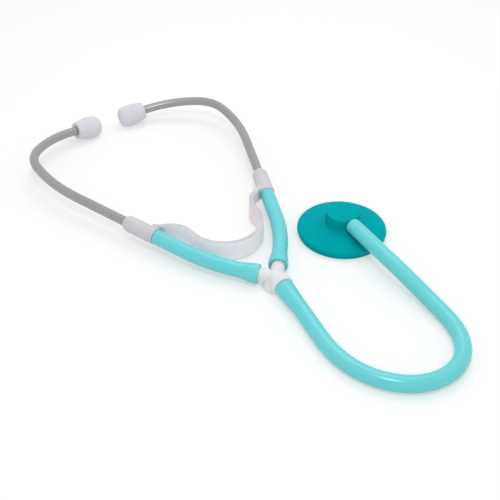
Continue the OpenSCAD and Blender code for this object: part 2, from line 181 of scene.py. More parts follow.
# %% [markdown]
# ## Finishes
# Each plastic is one Principled shader. A flat colour would look like a computer's idea of plastic,
# so each gets what the real one shows: slow drifts of colour from the moulding, a fine orange peel
# in the surface, and gloss that varies where it has been handled. All of it reads the place on the
# object, or marks that are left on the surface, so it never slides.

# %% Tools for finishes
# A Mix node's colour sockets go by number, as its other kinds of socket have the same names.
MIX_FACTOR, MIX_ONE, MIX_OTHER, MIX_RESULT = 0, 6, 7, 2


def paint(red, green, blue):
    """A colour of a picture, 0 to 255, as the linear colour that shaders take."""
    def linear(c):
        c /= 255
        return c / 12.92 if c <= 0.04045 else ((c + 0.055) / 1.055) ** 2.4

    return (linear(red), linear(green), linear(blue), 1)


def noise(tree, where, scale, detail=2.0):
    """Cloudy noise from 0 to 1, with about `scale` clouds in each unit of length."""
    sockets = {"Vector": where, "Scale": scale, "Detail": detail}
    return Wire.add(tree, "ShaderNodeTexNoise", None, sockets, "Fac")


def mixed(tree, factor, one, other):
    """One colour where the factor is 0, the other where it is 1."""
    sockets = {MIX_FACTOR: factor, MIX_ONE: one, MIX_OTHER: other}
    return Wire.add(tree, "ShaderNodeMix", {"data_type": "RGBA"}, sockets, MIX_RESULT)


def raised(tree, height, depth):
    """A normal that follows a height from 0 to 1 over a depth in millimetres."""
    return Wire.add(tree, "ShaderNodeBump", None, {"Height": height, "Distance": depth * MM})


def spread(tree, value, low, high):
    """Stretches the part of a value from low to high over 0 to 1."""
    sockets = {"Value": value, "From Min": low, "From Max": high}
    return Wire.add(tree, "ShaderNodeMapRange", {"clamp": True}, sockets)


def on_object(tree):
    return Wire.add(tree, "ShaderNodeTexCoord", out="Object")


def mark(tree, name, kind="Fac"):
    """A mark that was left on the surface, as a number or a vector."""
    return Wire.add(tree, "ShaderNodeAttribute", {"attribute_name": name}, out=kind)


def spaced(sockets):
    """Names of sockets, written with underscores, as the nodes spell them."""
    return {key.replace("_", " "): value for key, value in sockets.items()}


def new_finish(name):
    made = bpy.data.materials.new(name)
    made.use_nodes = True
    made.node_tree.nodes.clear()
    return made, made.node_tree


def coat(tree, **sockets):
    """Ends a finish: a Principled shader with these sockets."""
    shader = Wire.add(tree, "ShaderNodeBsdfPrincipled", None, spaced(sockets))
    Wire.add(tree, "ShaderNodeOutputMaterial", None, {"Surface": shader})


print("aqua in linear light:", [round(c, 3) for c in paint(118, 213, 215)])

# %% [markdown]
# ### Hose vinyl
# Soft vinyl hose comes out of a die, so its colour drifts in long streaks along it. A pattern on
# object coordinates would cut across the bends. The tube tree below leaves two marks on the
# surface, `along` and `ring`, and the streaks read those.

# %% Hose vinyl
HOSE_DEEP, HOSE_LIGHT = paint(78, 187, 192), paint(107, 203, 206)


def die_lines(tree, pace, scale):
    """Lines that a die leaves: noise round a tube that changes slowly, at a pace, along it."""
    along = mark(tree, "along")
    slow = {axis: along * times for axis, times in pace.items()}
    slow = Wire.add(tree, "ShaderNodeCombineXYZ", None, slow)
    sockets = {0: mark(tree, "ring", "Vector"), 1: slow}
    die = Wire.add(tree, "ShaderNodeVectorMath", {"operation": "ADD"}, sockets)
    return noise(tree, die, scale, detail=4)


def hose_vinyl():
    made, tree = new_finish("hose_vinyl")
    where = on_object(tree)
    streaks = die_lines(tree, {"X": 22, "Y": 9}, scale=2.6)
    drift = noise(tree, where, scale=40)
    colour = mixed(tree, streaks * 0.6 + drift * 0.4, HOSE_DEEP, HOSE_LIGHT)
    peel = noise(tree, where, scale=1500, detail=3)
    coat(tree, Base_Color=colour, Roughness=0.17 + 0.12 * peel,
         Normal=raised(tree, peel + streaks, depth=0.008),
         Subsurface_Weight=0.12, Subsurface_Radius=(0.6, 1.0, 1.0), Subsurface_Scale=1.2 * MM,
         Specular_IOR_Level=0.5)
    return made


HOSE_VINYL = hose_vinyl()
print(HOSE_VINYL.name, len(HOSE_VINYL.node_tree.nodes), "nodes")

# %% [markdown]
# ### Moulded plastics
# The chest piece is a deep teal, the connector is milky and the yoke a pale grey that lets a little
# light through. They differ in colour, gloss and grain, not in kind, so one function makes them all
# from a row of values. A little wear breaks the sheen in patches, and is paler on the teal.

# %% Moulded plastics
WEAR_TINT, WEAR_ROUGH, GRAIN_ROUGH = 0.22, 0.1, 0.1


def moulded(name, deep, light, gloss, grain, through=0.0, worn=None, shine=0.3, painted_light=None):
    """A moulded plastic: two shades, roughness, grain depth in mm, translucency, colour of wear,
    shine, and a paler colour painted onto thin walls for the light that they let through."""
    made, tree = new_finish(name)
    where = on_object(tree)
    flow = noise(tree, where, scale=55, detail=3)
    fine = noise(tree, where, scale=2600, detail=2)
    colour = mixed(tree, spread(tree, flow, low=0.3, high=0.7), deep, light)
    # Painted light: the paler colour on thin walls stands in for the light that they let through.
    if painted_light:
        colour = mixed(tree, mark(tree, "painted_light_mask"), colour, painted_light)
    wear = spread(tree, noise(tree, where, scale=130, detail=5), low=0.6, high=0.78)
    if worn:
        colour = mixed(tree, wear * WEAR_TINT, colour, worn)
    coat(tree, Base_Color=colour, Roughness=gloss + GRAIN_ROUGH * fine + WEAR_ROUGH * wear,
         Normal=raised(tree, fine, grain), Subsurface_Weight=through,
         Subsurface_Radius=(1.0, 1.0, 1.1), Subsurface_Scale=1.5 * MM, Specular_IOR_Level=shine)
    return made


CHEST_TEAL = moulded("chest_teal_plastic", paint(0, 147, 155), paint(0, 156, 164), gloss=0.45,
                     grain=0.02, worn=paint(0, 168, 176), shine=0.01)
CONNECTOR_MILK = moulded("connector_milk_plastic", paint(206, 209, 212), paint(216, 218, 220),
                         gloss=0.3, grain=0.008, through=0.5)
# The yoke's paler wall colour is painted light, for the light that its thin band lets through.
YOKE_PALE = moulded("yoke_pale_plastic", paint(182, 182, 187), paint(192, 192, 197), gloss=0.36,
                    grain=0.01, through=0.15, painted_light=paint(250, 239, 243))
SKIN_WHITE = moulded("skin_white_sheet", paint(226, 227, 228), paint(236, 237, 238), gloss=0.32,
                     grain=0.03, through=0.1)
print("plastics:", CHEST_TEAL.name, CONNECTOR_MILK.name, YOKE_PALE.name, SKIN_WHITE.name)

# %% [markdown]
# ### Ear tube metal and ear tip rubber
# The ear tubes are a satin grey metal, drawn through a die, so their fine lines run along them.
# The ear tips are soft and nearly matt, with a powdery bloom. Both are shaders of their own,
# because the direction of the lines and the softness of the edge light make them look real.

# %% Metal and rubber
METAL_DEEP, METAL_LIGHT = paint(140, 140, 142), paint(157, 157, 158)
RUBBER_DEEP, RUBBER_LIGHT = paint(196, 193, 201), paint(208, 206, 213)


def drawn_metal():
    made, tree = new_finish("ear_tube_satin_metal")
    lines = die_lines(tree, {"X": 9, "Z": 5}, scale=26)
    cloud = noise(tree, on_object(tree), scale=60, detail=3)
    colour = mixed(tree, lines * 0.5 + cloud * 0.5, METAL_DEEP, METAL_LIGHT)
    coat(tree, Base_Color=colour, Metallic=0.4, Roughness=0.2 + 0.16 * lines,
         Specular_IOR_Level=0.7, Normal=raised(tree, lines, depth=0.01))
    return made


def tip_rubber():
    made, tree = new_finish("ear_tip_soft_rubber")
    where = on_object(tree)
    bloom = noise(tree, where, scale=160, detail=4)
    pores = noise(tree, where, scale=3200, detail=2)
    colour = mixed(tree, bloom, RUBBER_DEEP, RUBBER_LIGHT)
    coat(tree, Base_Color=colour, Roughness=0.5 + 0.2 * bloom,
         Normal=raised(tree, pores, depth=0.015), Subsurface_Weight=0.2,
         Subsurface_Radius=(1.0, 1.0, 1.0), Subsurface_Scale=2 * MM, Specular_IOR_Level=0.3)
    return made


EAR_METAL, TIP_RUBBER = drawn_metal(), tip_rubber()
print("made", EAR_METAL.name, "and", TIP_RUBBER.name)

# %% [markdown]
# ## A tree that makes tube along a path
# Five pieces of this toy are tube on a path: the main hose, two arm hoses and two ear tubes. A
# bevelled curve would sweep them too, but its ends can't swell over a spigot. The Geometry Nodes
# tree resamples a line, works out the radius from the distance to each end, leaves the two marks
# for the finishes, and sweeps a ring. The ends stay open for a wall to be added.

# %% Tube tree
TUBE_SIZES = ("Radius", "Start radius", "End radius", "Grip", "Taper", "Step")


def tube_tree():
    tree = bpy.data.node_groups.new("tube_along_path", "GeometryNodeTree")
    tree.interface.new_socket("Path", in_out="INPUT", socket_type="NodeSocketGeometry")
    for label in TUBE_SIZES:
        tree.interface.new_socket(label, in_out="INPUT", socket_type="NodeSocketFloat")
    tree.interface.new_socket("Sides", in_out="INPUT", socket_type="NodeSocketInt")
    tree.interface.new_socket("Material", in_out="INPUT", socket_type="NodeSocketMaterial")
    tree.interface.new_socket("Tube", in_out="OUTPUT", socket_type="NodeSocketGeometry")

    def add(kind, settings=None, out=0, **sockets):
        return Wire.add(tree, kind, settings, spaced(sockets), out)

    def given(label):
        return add("NodeGroupInput", out=label)

    line = add("GeometryNodeMeshToCurve", Mesh=given("Path"))
    line = add("GeometryNodeResampleCurve", {"mode": "LENGTH"}, Curve=line, Length=given("Step"))
    along = add("GeometryNodeSplineParameter", out="Length")
    whole = add("GeometryNodeSplineLength", out="Length")

    def gripped(from_end):
        """1 where an end is gripped, falling to 0 over the taper."""
        return add("ShaderNodeMapRange", {"interpolation_type": "SMOOTHSTEP"}, Value=from_end,
                   From_Min=given("Grip"), From_Max=given("Grip") + given("Taper"),
                   To_Min=1.0, To_Max=0.0)

    radius = (given("Radius") + gripped(along) * (given("Start radius") - given("Radius"))
              + gripped(whole - along) * (given("End radius") - given("Radius")))
    line = add("GeometryNodeStoreNamedAttribute", {"data_type": "FLOAT"}, Geometry=line,
               Name="along", Value=along)
    hoop = add("GeometryNodeCurvePrimitiveCircle", {"mode": "RADIUS"}, Resolution=given("Sides"),
               Radius=1.0)
    hoop = add("GeometryNodeStoreNamedAttribute", {"data_type": "FLOAT_VECTOR"}, Geometry=hoop,
               Name="ring", Value=add("GeometryNodeInputPosition"))
    skin = add("GeometryNodeCurveToMesh", Curve=line, Profile_Curve=hoop, Scale=radius)
    skin = add("GeometryNodeSetShadeSmooth", Geometry=skin)
    skin = add("GeometryNodeSetMaterial", Geometry=skin, Material=given("Material"))
    add("NodeGroupOutput", Tube=skin)
    return tree


TUBE_TREE = tube_tree()
print(TUBE_TREE.name, "with", len(TUBE_TREE.nodes), "nodes")

# %% Tube from a path
RIM_SEGMENTS, RIM_ANGLE = 3, math.radians(50)


def settle(obj):
    """Turns what an object's modifiers make into its plain mesh."""
    depsgraph = bpy.context.evaluated_depsgraph_get()
    made = bpy.data.meshes.new_from_object(obj.evaluated_get(depsgraph), depsgraph=depsgraph)
    obj.modifiers.clear()
    obj.data = made
    made.shade_smooth()
    return obj


def tube(name, points, finish, wall, rim, sides, **sizes):
    """A tube along points in mm, with a wall of its own and rounded rims at its ends."""
    mesh = bpy.data.meshes.new(name)
    mesh.from_pydata([p * MM for p in points], [(i, i + 1) for i in range(len(points) - 1)], [])
    obj = bpy.data.objects.new(name, mesh)
    scene.collection.objects.link(obj)
    sweep = obj.modifiers.new("sweep", "NODES")
    sweep.node_group = TUBE_TREE
    labels = {item.name: item.identifier for item in TUBE_TREE.interface.items_tree}
    for label, size in spaced(sizes).items():
        sweep[labels[label]] = size * MM
    sweep[labels["Sides"]] = sides
    sweep[labels["Material"]] = finish
    thick = obj.modifiers.new("wall", "SOLIDIFY")
    thick.thickness, thick.offset = wall * MM, -1
    soft = obj.modifiers.new("rims", "BEVEL")
    soft.width, soft.segments, soft.angle_limit = rim * MM, RIM_SEGMENTS, RIM_ANGLE
    settle(obj)
    print(name, len(obj.data.polygons), "faces")
    return obj


# %% [markdown]
# ## The main hose
# The hose leaves the connector, wanders over the table in one loose loop, climbs and goes onto the
# chest piece's spigot. It is a free cord of known length. A hose could be simulated, but the
# photograph shows it from end to end, so its route is a row of points that a smooth curve joins.

# %% Main hose route
HOSE_R, HOSE_BORE_R, HOSE_SIDES = 4.2, 2.5, 48
HOSE_WALL = HOSE_R - HOSE_BORE_R
CUFF_R, CUFF_L, CUFF_TAPER, CUFF_LIP = 5.3, 5, 6.5, 2
MAIN_MOUTH_R, MAIN_TAPER = 5, 16
HEADSET = Vector((-57, -17, 5.3))
STEM_MOUTH, STEM_TURN, ARM_MOUTH = 8, 8, 9.5
SPIGOT_Z, SPIGOT_TURN = 11.6, 6
HUB_R, HOSE_GAP, SPIGOT_L, SPIGOT_LEAD = 9.5, 0.4, 16, 8
MOUTH_STEPS, LEAD_STEPS, EASINGS = (0, 7, 14), (-2, 6, 15), 12
HOSE_ROUTE = [
    (-60.9, -45, 4.9), (-62.2, -53, 4.5), (-63.7, -61, 4.3), (-64.9, -69, 4.2), (-65.2, -77, 4.2),
    (-64.1, -86, 4.2), (-61, -94.6, 4.2), (-56.1, -102.2, 4.2), (-49.6, -108.4, 4.2),
    (-41.7, -112.6, 4.2), (-33, -114.2, 4.2), (-24.6, -113.2, 4.2), (-17, -109.6, 4.2),
    (-10.8, -103.6, 4.2), (-6.6, -96, 4.2), (-4.2, -87, 4.3), (-3.4, -78, 4.9), (-3.2, -69, 6.2),
    (-3.6, -60, 8.2), (-4, -51, 10.1), (-4.2, -43, 11.2)]


def smooth_line(points, steps=6):
    """A Catmull-Rom curve through points."""
    line, last = [], len(points) - 1
    for i in range(last):
        a, b, c, d = (points[max(i - 1, 0)], points[i], points[i + 1], points[min(i + 2, last)])
        for k in range(steps):
            t = k / steps
            line.append(0.5 * (2 * b + (c - a) * t + (2 * a - 5 * b + 4 * c - d) * t ** 2
                               + (3 * b - a - 3 * c + d) * t ** 3))
    return line + [points[last]]


def eased(line, times):
    """Evens out a line's bends by drawing each point towards its neighbours."""
    for _ in range(times):
        inner = [(a + 2 * b + c) / 4 for a, b, c in zip(line, line[1:], line[2:])]
        line = [line[0]] + inner + [line[-1]]
    return line


def level_way(turn):
    """The level direction that is turned from -Y towards -X by an angle in degrees."""
    return Vector((-math.sin(math.radians(turn)), -math.cos(math.radians(turn)), 0))


stem_way, spigot_way = level_way(STEM_TURN), level_way(SPIGOT_TURN)
hub_side = Vector((0, 0, SPIGOT_Z)) + (HUB_R + HOSE_GAP) * spigot_way
hose_mouth = HEADSET + STEM_MOUTH * stem_way
hose_start = [hose_mouth + s * stem_way for s in MOUTH_STEPS]
hose_end = [hub_side + (SPIGOT_L + SPIGOT_LEAD - s) * spigot_way for s in LEAD_STEPS] + [hub_side]
HOSE_LINE = eased(smooth_line(hose_start + [Vector(p) for p in HOSE_ROUTE] + hose_end), EASINGS)
hose_length = sum((b - a).length for a, b in zip(HOSE_LINE, HOSE_LINE[1:]))
print("hose line", len(HOSE_LINE), "points,", round(hose_length, 1), "mm")

# %% Main hose
main_hose = tube("main_hose", HOSE_LINE, HOSE_VINYL, HOSE_WALL, rim=0.5, sides=HOSE_SIDES,
                 Radius=HOSE_R, Start_radius=MAIN_MOUTH_R, End_radius=HOSE_R,
                 Grip=CUFF_LIP, Taper=MAIN_TAPER, Step=1)
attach(main_hose, "connector")
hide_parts("main_tube")
[p * MM for p in HOSE_LINE[::3] + HOSE_LINE[-1:]]

# %% [markdown]
# ## Bending the headset's tubes
# A tube bender feeds a tube straight, turns it through an angle, or rolls it before the next bend.
# The headset's centrelines can be written as formulas, but a walker with those three moves is
# easier to follow. Only the right side is walked: the left side is its mirror image.

# %% The bender
ARM_ANGLE, ARM_SLOPE, ARM_BEND, ARM_BEND_R, ARM_END = 40, 3, 18.5, 100, 19
SLACK = 0.1


class Bender:
    """Walks along +X of its place and keeps the points that it passes."""

    def __init__(self, place):
        self.place = place.copy()
        self.points = [place.translation.copy()]

    def step(self, move):
        self.place = self.place @ move
        self.points.append(self.place.translation.copy())

    def feed(self, length, pieces=1):
        for _ in range(pieces):
            self.step(Matrix.Translation((length / pieces, 0, 0)))
        return self

    def bend(self, radius, angle, degrees_each=1.5):
        count = math.ceil(angle / degrees_each)
        a = math.radians(angle) / count
        chord = Matrix.Translation((radius * math.sin(a), radius * (1 - math.cos(a)), 0))
        for _ in range(count):
            self.step(chord @ Matrix.Rotation(a, 4, "Z"))
        return self

    def roll(self, angle):
        self.place = self.place @ Matrix.Rotation(math.radians(angle), 4, "X")
        return self


on_arm = (Matrix.Translation(HEADSET) @ Matrix.Rotation(math.radians(90 - ARM_ANGLE), 4, "Z")
          @ Matrix.Rotation(math.radians(-ARM_SLOPE), 4, "Y"))
arm_walk = Bender(on_arm @ Matrix.Translation((ARM_MOUTH, 0, 0)))
arm_walk.feed(CUFF_L + CUFF_TAPER).bend(ARM_BEND_R, ARM_BEND).feed(ARM_END - SLACK)
sleeve_place = arm_walk.place @ Matrix.Translation((SLACK, 0, 0))
print("sleeve starts at", [round(x, 2) for x in sleeve_place.translation])

# %% [markdown]
# The ear tubes bend towards each other and then roll down, so that the ear tips lie on the table.
# How far they roll could be solved with trigonometry. Halving an interval finds it just as well:
# roll, look how high the tip's middle is, and keep the half in which the right height lies.

# %% Ear tube walk
SLEEVE_L, EAR_IN, EAR_RUN, TIP_IN, BEND_GAP = 21, 15, 37.5, 10, 0.6
SWEEP_R, SWEEP, SHOULDER_R, SHOULDER, LAST_R, LAST = 106, 21.5, 27, 48, 64, 32
TIP_R, TIP_WIDE = 6.9, 10.5
MOST_ROLL, HALVINGS = 60.0, 40


def ear_walk(roll):
    walk = Bender(sleeve_place @ Matrix.Translation((SLEEVE_L - EAR_IN, 0, 0)))
    walk.feed(EAR_IN + EAR_RUN, pieces=4).bend(SWEEP_R, SWEEP).feed(BEND_GAP)
    return walk.roll(-roll).bend(SHOULDER_R, SHOULDER).feed(BEND_GAP).bend(LAST_R, LAST)


def tip_height(roll):
    return (ear_walk(roll).place @ Vector((TIP_WIDE, 0, 0))).z


low, high = 0.0, MOST_ROLL
for _ in range(HALVINGS):
    middle = (low + high) / 2
    low, high = (middle, high) if tip_height(middle) > TIP_R + SLACK else (low, middle)
ear_line = ear_walk(low)
tip_place = ear_line.place.copy()
ear_line.feed(TIP_IN)
print("roll", round(low, 2), "degrees, tip base at", [round(x, 2) for x in tip_place.translation])

# %% [markdown]
# ## Arm hoses and ear tubes
# The arm hoses swell over the connector's arms and grip the sleeves' plugs inside. They bend when
# the headset is opened, but here each is simply set down where it lies. The ear tubes are rigid
# and turn in their sleeves, so they simply ride.

# %% Arm hoses and ear tubes
MIRROR = Matrix.Translation((2 * HEADSET.x, 0, 0)) @ Matrix.Scale(-1, 4, (1, 0, 0))
SIDES = {"right": Matrix.Identity(4), "left": MIRROR}
EAR_R, EAR_WALL = 2.75, 1.15

for side, flip in SIDES.items():
    hose = tube(f"arm_hose_{side}", [flip @ p for p in arm_walk.points], HOSE_VINYL, HOSE_WALL,
                rim=0.4, sides=HOSE_SIDES, Radius=HOSE_R, Start_radius=CUFF_R, End_radius=HOSE_R,
                Grip=CUFF_LIP, Taper=CUFF_L + CUFF_TAPER - CUFF_LIP, Step=0.8)
    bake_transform(hose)
    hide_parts(f"arm_tube_{side}")
    pipe = tube(f"ear_pipe_{side}", [flip @ p for p in ear_line.points], EAR_METAL, EAR_WALL,
                rim=0.2, sides=40, Radius=EAR_R, Start_radius=EAR_R, End_radius=EAR_R,
                Grip=1, Taper=1, Step=0.8)
    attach(pipe, f"{side}_ear")
    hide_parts(f"ear_tube_{side}")

# %% [markdown]
# ## Turned and lofted shapes
# The rest is moulded. Most moulds for round pieces are turned on a lathe, so a profile turned about
# an axis gives the right shape, and softened corners in the profile give the right highlights. The
# Screw modifier could turn it, but a few lines of bmesh close the poles and join shapes as well.

# %% Lathe and loft
ON_AXIS = 1e-6


def softened(corners, steps=5, longest=1.5):
    """Rounds the corners (along, radius, cut) of a closed profile, and splits its long runs."""
    soft = []
    for i, (x, y, cut) in enumerate(corners):
        here = Vector((x, y))
        if not cut:
            soft.append(here)
            continue
        before, after = Vector(corners[i - 1][:2]), Vector(corners[(i + 1) % len(corners)][:2])
        start = here + (before - here).normalized() * cut
        end = here + (after - here).normalized() * cut
        for k in range(steps + 1):
            t = k / steps
            soft.append((1 - t) ** 2 * start + 2 * t * (1 - t) * here + t ** 2 * end)
    split = []
    for one, other in zip(soft, soft[1:] + soft[:1]):
        count = max(1, math.ceil((other - one).length / longest))
        split += [one.lerp(other, k / count) for k in range(count)]
    return split


def lathe(shape, place, profile, turns=96):
    """Turns a closed profile about +X of a place, in mm. A point on the axis becomes a pole."""
    rings = []
    for along, radius in profile:
        angles = [2 * math.pi * j / turns for j in range(turns if radius > ON_AXIS else 1)]
        ring = [Vector((along, radius * math.cos(a), radius * math.sin(a))) for a in angles]
        rings.append([shape.verts.new(place @ p * MM) for p in ring])
    for one, other in zip(rings, rings[1:] + rings[:1]):
        if len(one) == len(other) == 1:
            continue
        for j in range(turns):
            k = j + 1
            corners = [one[j % len(one)], one[k % len(one)],
                       other[k % len(other)], other[j % len(other)]]
            shape.faces.new(list(dict.fromkeys(corners)))


def loft(shape, rings):
    """Joins rings of points, in mm, and closes the first and the last."""
    rings = [[shape.verts.new(p * MM) for p in ring] for ring in rings]
    for one, other in zip(rings, rings[1:]):
        for j in range(len(one)):
            k = (j + 1) % len(one)
            shape.faces.new((one[j], one[k], other[k], other[j]))
    shape.faces.new(rings[0])
    shape.faces.new(rings[-1])


def piece(name, shape, finish):
    """An object with a shape's mesh, faces outwards, and a finish."""
    bmesh.ops.recalc_face_normals(shape, faces=shape.faces)
    mesh = bpy.data.meshes.new(name)
    shape.to_mesh(mesh)
    shape.free()
    mesh.materials.append(finish)
    mesh.shade_smooth()
    obj = bpy.data.objects.new(name, mesh)
    scene.collection.objects.link(obj)
    print(name, len(mesh.polygons), "faces")
    return obj


def fuse(obj, voxel, smoothing):
    """Joins overlapping shapes into one skin of small faces, and softens its inner corners."""
    melt = obj.modifiers.new("melt", "REMESH")
    melt.mode, melt.voxel_size = "VOXEL", voxel * MM
    soft = obj.modifiers.new("soften", "SMOOTH")
    soft.factor, soft.iterations = 0.5, smoothing
    settle(obj)
    print(obj.name, "fused,", len(obj.data.polygons), "faces")
    return obj


# %% [markdown]
# ## Ear tips
# Each ear tip is a blunt dome of soft rubber on a flaring neck, with a hole for the sound and a
# wider one for the tube. A sphere pulled long would be too pointed: a superellipse gives the dome
# its blunt end.

# %% Ear tips
TIP_L, TIP_BASE_R, TIP_BLUNT, FLARE_STEPS, BLUNT_STEPS = 18, 5.25, 3.1, 12, 14
SOUND_R, SOUND_RIM, SOUND_FLARE, SOUND_FLARE_L = 1.3, 0.6, 0.3, 0.8
BORE_FIT, BORE_LEAD, BASE_DRAFT, END_DIP = 0.05, 0.15, 0.1, 0.02
BORE_R = EAR_R + BORE_FIT


def tip_profile():
    outer = []
    for i in range(1, FLARE_STEPS + 1):
        flare = math.sin(math.pi / 2 * i / FLARE_STEPS)
        outer.append((TIP_WIDE * i / FLARE_STEPS, TIP_BASE_R + (TIP_R - TIP_BASE_R) * flare))
    for i in range(1, BLUNT_STEPS):
        a = math.pi / 2 * (1 - i / BLUNT_STEPS)
        r = TIP_R * math.sin(a) ** (2 / TIP_BLUNT)
        if r > SOUND_R + SOUND_RIM:
            outer.append((TIP_WIDE + (TIP_L - TIP_WIDE) * math.cos(a) ** (2 / TIP_BLUNT), r))
    return softened(
        [(0, BORE_R + BORE_LEAD, 0), (0, TIP_BASE_R - BASE_DRAFT, 0.25)]
        + [(x, r, 0) for x, r in outer]
        + [(TIP_L - END_DIP, SOUND_R + SOUND_FLARE, 0.25), (TIP_L - SOUND_FLARE_L, SOUND_R, 0.3),
           (TIP_IN + SLACK, SOUND_R, 0), (TIP_IN + SLACK, BORE_R, 0), (BORE_LEAD, BORE_R, 0)])


for side, flip in SIDES.items():
    shape = bmesh.new()
    lathe(shape, flip @ tip_place, tip_profile())
    plug = piece(f"ear_plug_{side}", shape, TIP_RUBBER)
    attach(plug, f"{side}_ear")
    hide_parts(f"ear_tip_{side}")

# %% [markdown]
# ## The connector
# The connector is one milky moulding: a plump body on a low dome, a skirt a little wider than the
# hose that goes on below it, and two arms. Lathes that merely overlap would meet in hard creases,
# so they are fused into one skin and softened, as the mould-maker blends the crotch with a ball
# cutter.

# %% Connector
BRANCH_R, ROOT_R, ROOT_SHARE, ROOT_CLEAR, CUFF_END = 3.6, 3.8, 0.35, 1, CUFF_L - SLACK
REAR_R, REAR_STEPS, COLLAR_L, SKIRT_R, SKIRT_ROUND = 5, 8, 3, 5.9, 1.2
DOME_R, DOME_H, DOME_STEPS = 7.4, 8.9, 10
UP = Matrix.Rotation(math.radians(-90), 4, "Y")


def quarter(steps):
    """Angles from nothing to a right angle."""
    return [math.pi / 2 * i / steps for i in range(steps + 1)]


def branch_end(mouth):
    """The end of a branch, which goes into a hose from its mouth on."""
    return [(mouth + CUFF_END, BRANCH_R, 0.5), (mouth + CUFF_END, 0, 0)]


def branch_profile():
    root = [(0, 0, 0), (0, ROOT_R, 0), (ARM_MOUTH * ROOT_SHARE, ROOT_R, 0)]
    return softened(root + [(ARM_MOUTH - ROOT_CLEAR, BRANCH_R, 0)] + branch_end(ARM_MOUTH))


def body_profile():
    skirt = STEM_MOUTH - SLACK
    rear = [(-REAR_R * math.cos(a), REAR_R * math.sin(a), 0) for a in quarter(REAR_STEPS)]
    collar = [(skirt - COLLAR_L, SKIRT_R, SKIRT_ROUND), (skirt, SKIRT_R, SKIRT_ROUND)]
    return softened(rear + collar + [(skirt, BRANCH_R, 0)] + branch_end(STEM_MOUTH))


def dome_profile():
    return [(0, 0)] + [(DOME_H * math.sin(a), DOME_R * math.cos(a)) for a in quarter(DOME_STEPS)]


shape = bmesh.new()
on_stem = Matrix.Translation(HEADSET) @ Matrix.Rotation(math.radians(-90 - STEM_TURN), 4, "Z")
lathe(shape, on_stem, body_profile())
lathe(shape, Matrix.Translation((HEADSET.x, HEADSET.y, SLACK)) @ UP, dome_profile())
for flip in SIDES.values():
    lathe(shape, flip @ on_arm, branch_profile())
for corner in shape.verts:
    corner.co.z = max(corner.co.z, SLACK * MM)
wye = fuse(piece("wye", shape, CONNECTOR_MILK), voxel=0.22, smoothing=14)
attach(wye, "connector")
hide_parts("y_connector")

# %% [markdown]
# ## The yoke
# Two sleeves and the spring band between them are one pale moulding on the toy. When the headset
# opens, the loop flexes while the sleeves stay straight. It is built as one piece so that the lugs
# flow into the sleeves, then cut in half in the mirror plane, at the loop's bottom, which does not
# move as the headset opens.

# %% Band shape
BAND_T, BAND_LOW, BAND_HIGH, BAND_END_H, BAND_RISE, FLARE_R = 2.4, 0.8, 12.4, 8.4, 5, 13.5
LUG_OUT, LUG_BACK, LUG_FILLET, LUG_LAP, BAND_TURN = 7.6, 1.4, 6, 0.5, math.radians(46.5)
LOOP_STEPS, BAND_FLARE_STEPS, FILLET_STEPS = 24, 16, 8
SLEEVE_HEADING = math.radians(ARM_ANGLE - ARM_BEND)
BAND_HEADING = SLEEVE_HEADING + BAND_TURN
LUG_Z = sleeve_place.translation.z
sleeve_way = Vector((math.sin(SLEEVE_HEADING), math.cos(SLEEVE_HEADING)))
inward = Vector((-math.cos(SLEEVE_HEADING), math.sin(SLEEVE_HEADING)))
LUG_END = sleeve_place.translation.xy - LUG_BACK * sleeve_way + LUG_OUT * inward
LOOP_R = LUG_END.x - HEADSET.x - FLARE_R * (1 - math.cos(BAND_HEADING))
LOOP_MIDDLE = Vector((HEADSET.x, LUG_END.y - FLARE_R * math.sin(BAND_HEADING)))


def band_line():
    """The right half of the band from above: places and the way out from the loop."""
    line = []
    for i in range(LOOP_STEPS + 1):
        a = math.pi / 2 * (i / LOOP_STEPS - 1)
        way = Vector((math.cos(a), math.sin(a)))
        line.append((LOOP_MIDDLE + LOOP_R * way, way))
    flare_middle = LOOP_MIDDLE + Vector((LOOP_R + FLARE_R, 0))
    for i in range(1, BAND_FLARE_STEPS + 1):
        a = math.pi - BAND_HEADING * i / BAND_FLARE_STEPS
        way = -Vector((math.cos(a), math.sin(a)))
        line.append((flare_middle - FLARE_R * way, way))
    return line


BAND_LINE = band_line()
print("band meets its lug at", [round(x, 2) for x in LUG_END], "and loops at radius",
      round(LOOP_R, 2))

# %% Yoke
SLEEVE_R, NOSE_R, NOSE_L, PLUG_R, PLUG_L, PLUG_LEAD = 4.6, 3.7, 2.6, 2.45, 9, 0.6


def share(value):
    """A value kept between 0 and 1."""
    return min(max(value, 0), 1)


def band_ring(place, way, mirrored):
    """The four corners of the band at a place on its right half, or on the left half."""
    rise = share((place.y - LUG_END.y) / BAND_RISE + 1)
    top_rise = share((place.y - LOOP_MIDDLE.y + LOOP_R) / (LUG_END.y - LOOP_MIDDLE.y + LOOP_R))
    bottom = BAND_LOW + (LUG_Z - BAND_END_H / 2 - BAND_LOW) * rise
    top = BAND_HIGH + (LUG_Z + BAND_END_H / 2 - BAND_HIGH) * top_rise
    x, y = place
    ox, oy = way * BAND_T / 2
    if mirrored:
        x, ox = 2 * HEADSET.x - x, -ox
    return [Vector((x - ox, y - oy, bottom)), Vector((x + ox, y + oy, bottom)),
            Vector((x + ox, y + oy, top)), Vector((x - ox, y - oy, top))]


def sleeve_profile():
    plug = [(-PLUG_L, SOUND_R, 0), (-PLUG_L, PLUG_R - PLUG_LEAD, 0),
            (-PLUG_L + PLUG_LEAD, PLUG_R, 0), (0, PLUG_R, 0)]
    outside = [(0, SLEEVE_R, 0), (SLEEVE_L - NOSE_L, SLEEVE_R, 0), (SLEEVE_L, NOSE_R, 0)]
    bore = [(SLEEVE_L, BORE_R, 0), (SLEEVE_L - EAR_IN, BORE_R, 0), (SLEEVE_L - EAR_IN, SOUND_R, 0)]
    return softened(plug + outside + bore)


